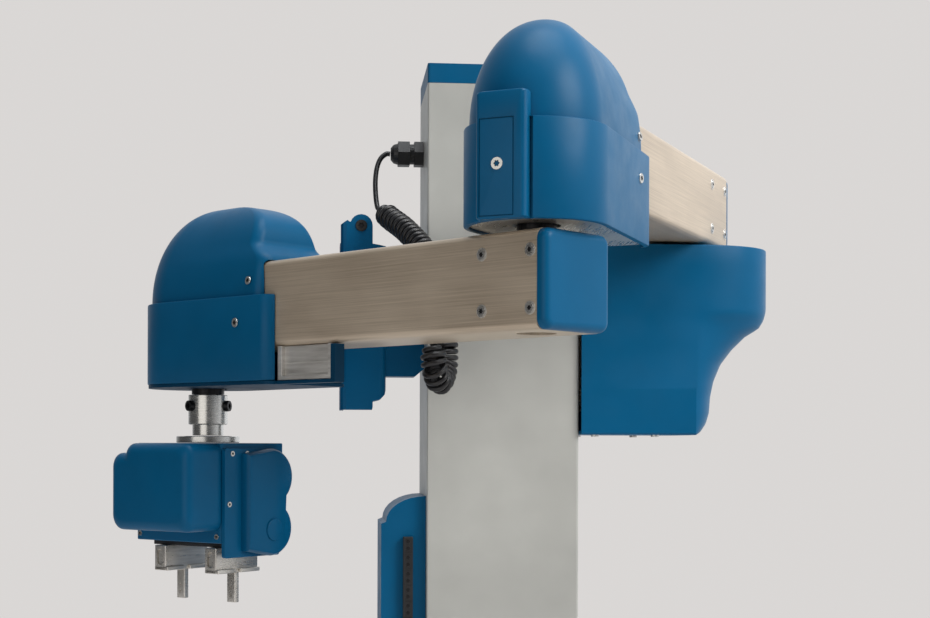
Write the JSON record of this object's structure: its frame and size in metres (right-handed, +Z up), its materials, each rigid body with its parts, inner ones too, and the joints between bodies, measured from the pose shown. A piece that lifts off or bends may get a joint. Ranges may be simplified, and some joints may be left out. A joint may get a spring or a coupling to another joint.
{
  "type": "scara robot arm",
  "caption": "Column-mounted SCARA robot arm: lifting carriage, two swinging square-tube arms with domed joint housings, and a turning electric gripper with sliding jaws.",
  "frame": {"origin": "middle of the base plate's underside, on the column's centre line", "axes": "+Z up the column, +X from the column to the shoulder joint, +Y away from the front of the column where the arms are folded at rest"},
  "size_m": [0.6755, 0.6446, 1],
  "materials": {
    "base_plate": "light grey powder coat",
    "column_profile": "light grey anodised extrusion",
    "top_cap": "satin blue coat",
    "screw_bearing_bottom": "machined",
    "screw_bearing_top": "machined",
    "lift_motor": "black motor case",
    "guide_rail_front": "machined",
    "guide_rail_rear": "machined",
    "side_bracket": "satin blue coat",
    "controller_box": "satin blue coat",
    "terminal_strip": "black nylon",
    "cable_gland_body": "black nylon",
    "cable_gland_nut": "black nylon",
    "cord_lead": "black cord sheath",
    "cord_coil": "black cord sheath",
    "ball_screw": "machined",
    "carriage_slider": "machined",
    "guide_block_front": "machined",
    "guide_block_rear": "machined",
    "ball_nut": "machined",
    "shoulder_bracket": "machined",
    "shoulder_bearing": "machined",
    "shoulder_motor": "black motor case",
    "carriage_cover": "satin blue moulding",
    "shoulder_hub": "black anodised",
    "shoulder_clamp": "machined",
    "upper_arm_tube": "long fine brushed grain",
    "upper_arm_end_cap": "satin blue moulding",
    "elbow_skirt": "satin blue moulding",
    "elbow_dome": "satin blue moulding",
    "elbow_duct_cover": "satin blue moulding",
    "elbow_gearbox": "machined",
    "elbow_motor": "black motor case",
    "elbow_plate": "machined",
    "elbow_shaft": "black anodised",
    "forearm_tube": "long fine brushed grain",
    "forearm_end_cap": "satin blue moulding",
    "wrist_skirt": "satin blue moulding",
    "wrist_dome": "satin blue moulding",
    "wrist_gearbox": "machined",
    "wrist_motor": "black motor case",
    "wrist_plate": "satin blue coat",
    "saddle_bracket": "machined",
    "forearm_gland_body": "black nylon",
    "forearm_gland_nut": "black nylon",
    "cord_tail": "black cord sheath",
    "spindle_shaft": "black anodised",
    "shaft_coupling": "machined",
    "tool_flange": "machined",
    "coupling_screw_front": "blackened screw",
    "coupling_screw_side": "blackened screw",
    "gripper_body": "satin blue moulding",
    "gripper_motor_cover": "satin blue moulding",
    "gripper_motor": "black motor case",
    "gripper_gear_cover": "satin blue moulding",
    "gripper_rail": "black nylon",
    "finger_left_jaw": "machined",
    "finger_left_pin": "machined",
    "finger_right_jaw": "machined",
    "finger_right_pin": "machined"
  },
  "bodies": {
    "column": {"base_plate": "base_plate", "column_profile": "column_profile", "top_cap": "top_cap", "screw_bearing_bottom": "screw_bearing_bottom", "screw_bearing_top": "screw_bearing_top", "lift_motor": "lift_motor", "guide_rail_front": "guide_rail_front", "guide_rail_rear": "guide_rail_rear", "side_bracket": "side_bracket", "controller_box": "controller_box", "terminal_strip": "terminal_strip", "cable_gland_body": "cable_gland_body", "cable_gland_nut": "cable_gland_nut", "cord_lead": "cord_lead", "cord_coil": "cord_coil"},
    "drive_screw": {"ball_screw": "ball_screw"},
    "carriage": {"carriage_slider": "carriage_slider", "guide_block_front": "guide_block_front", "guide_block_rear": "guide_block_rear", "ball_nut": "ball_nut", "shoulder_bracket": "shoulder_bracket", "shoulder_bearing": "shoulder_bearing", "shoulder_motor": "shoulder_motor", "carriage_cover": "carriage_cover"},
    "upper_arm": {"shoulder_hub": "shoulder_hub", "shoulder_clamp": "shoulder_clamp", "upper_arm_tube": "upper_arm_tube", "upper_arm_end_cap": "upper_arm_end_cap", "elbow_skirt": "elbow_skirt", "elbow_dome": "elbow_dome", "elbow_duct_cover": "elbow_duct_cover", "elbow_gearbox": "elbow_gearbox", "elbow_motor": "elbow_motor", "elbow_plate": "elbow_plate"},
    "forearm": {"elbow_shaft": "elbow_shaft", "forearm_tube": "forearm_tube", "forearm_end_cap": "forearm_end_cap", "wrist_skirt": "wrist_skirt", "wrist_dome": "wrist_dome", "wrist_gearbox": "wrist_gearbox", "wrist_motor": "wrist_motor", "wrist_plate": "wrist_plate", "saddle_bracket": "saddle_bracket", "forearm_gland_body": "forearm_gland_body", "forearm_gland_nut": "forearm_gland_nut", "cord_tail": "cord_tail"},
    "tool": {"spindle_shaft": "spindle_shaft", "shaft_coupling": "shaft_coupling", "tool_flange": "tool_flange", "coupling_screw_front": "coupling_screw_front", "coupling_screw_side": "coupling_screw_side", "gripper_body": "gripper_body", "gripper_motor_cover": "gripper_motor_cover", "gripper_motor": "gripper_motor", "gripper_gear_cover": "gripper_gear_cover", "gripper_rail": "gripper_rail"},
    "finger_left": {"finger_left_jaw": "finger_left_jaw", "finger_left_pin": "finger_left_pin"},
    "finger_right": {"finger_right_jaw": "finger_right_jaw", "finger_right_pin": "finger_right_pin"}
  },
  "joints": [
    {"name": "z_lift", "type": "slide", "parent": "column", "child": "carriage", "axis": [0, 0, 1], "range_m": [-0.4, 0.1], "deforming": ["cord_lead", "cord_coil", "cord_tail"]},
    {"name": "screw_spin", "type": "hinge", "parent": "column", "child": "drive_screw", "pos_m": [0, 0, 0.5], "axis": [0, 0, 1], "range_deg": [-7300, 2000]},
    {"name": "shoulder", "type": "hinge", "parent": "carriage", "child": "upper_arm", "pos_m": [0.197, 0, 0.863], "axis": [0, 0, 1], "range_deg": [-3, 241]},
    {"name": "elbow", "type": "hinge", "parent": "upper_arm", "child": "forearm", "pos_m": [-0.00904, -0.37171, 0.8], "axis": [0, 0, 1], "range_deg": [-2, 222]},
    {"name": "wrist", "type": "hinge", "parent": "forearm", "child": "tool", "pos_m": [-0.29771, -0.03964, 0.69], "axis": [0, 0, 1], "range_deg": [-170, 170]},
    {"name": "jaw_left", "type": "slide", "parent": "tool", "child": "finger_left", "axis": [0.7431, -0.6691, 0], "range_m": [-0.008, 0.022]},
    {"name": "jaw_right", "type": "slide", "parent": "tool", "child": "finger_right", "axis": [0.7431, -0.6691, 0], "range_m": [-0.022, 0.008]}
  ],
  "couplings": [
    {"joint": "screw_spin", "follows": "z_lift", "rad_per_m": 314.16},
    {"joint": "jaw_right", "follows": "jaw_left", "ratio": -1}
  ]
}
